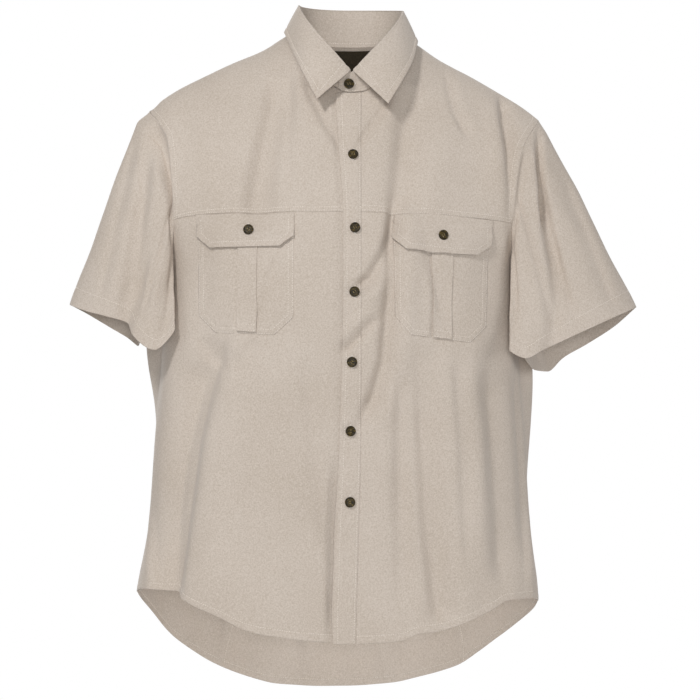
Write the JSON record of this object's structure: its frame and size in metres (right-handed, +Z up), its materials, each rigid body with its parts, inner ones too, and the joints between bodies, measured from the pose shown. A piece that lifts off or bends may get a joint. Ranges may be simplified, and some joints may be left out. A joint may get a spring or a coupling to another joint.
{
  "type": "safari shirt",
  "caption": "Short-sleeved safari shirt with a collar, buttoned front and two flap pockets, filled out as worn and hollow inside.",
  "frame": {"origin": "middle of the neck, level with the back neck seam, where the wearer holds the shirt up", "axes": "+Z up, the front faces -Y, +X towards the wearer's left"},
  "size_m": [0.703, 0.2624, 0.8606],
  "materials": {
    "cloth": "matte woven cotton",
    "label": "satin woven",
    "button": "polished mottled horn look"
  },
  "bodies": {
    "root": {"front_right": "cloth", "front_yoke_right": "cloth", "front_left": "cloth", "front_yoke_left": "cloth", "back": "cloth", "back_yoke": "cloth", "placket": "cloth", "pocket_right": "cloth", "pocket_pleat_right": "cloth", "pocket_flap_right": "cloth", "pocket_left": "cloth", "pocket_pleat_left": "cloth", "pocket_flap_left": "cloth", "neck_label": "label", "sleeve_right": "cloth", "sleeve_left": "cloth", "collar_stand": "cloth", "collar_leaf": "cloth", "button_0": "button", "button_1": "button", "button_2": "button", "button_3": "button", "button_4": "button", "button_5": "button", "button_6": "button", "flap_button_right": "button", "flap_button_left": "button"}
  },
  "joints": []
}
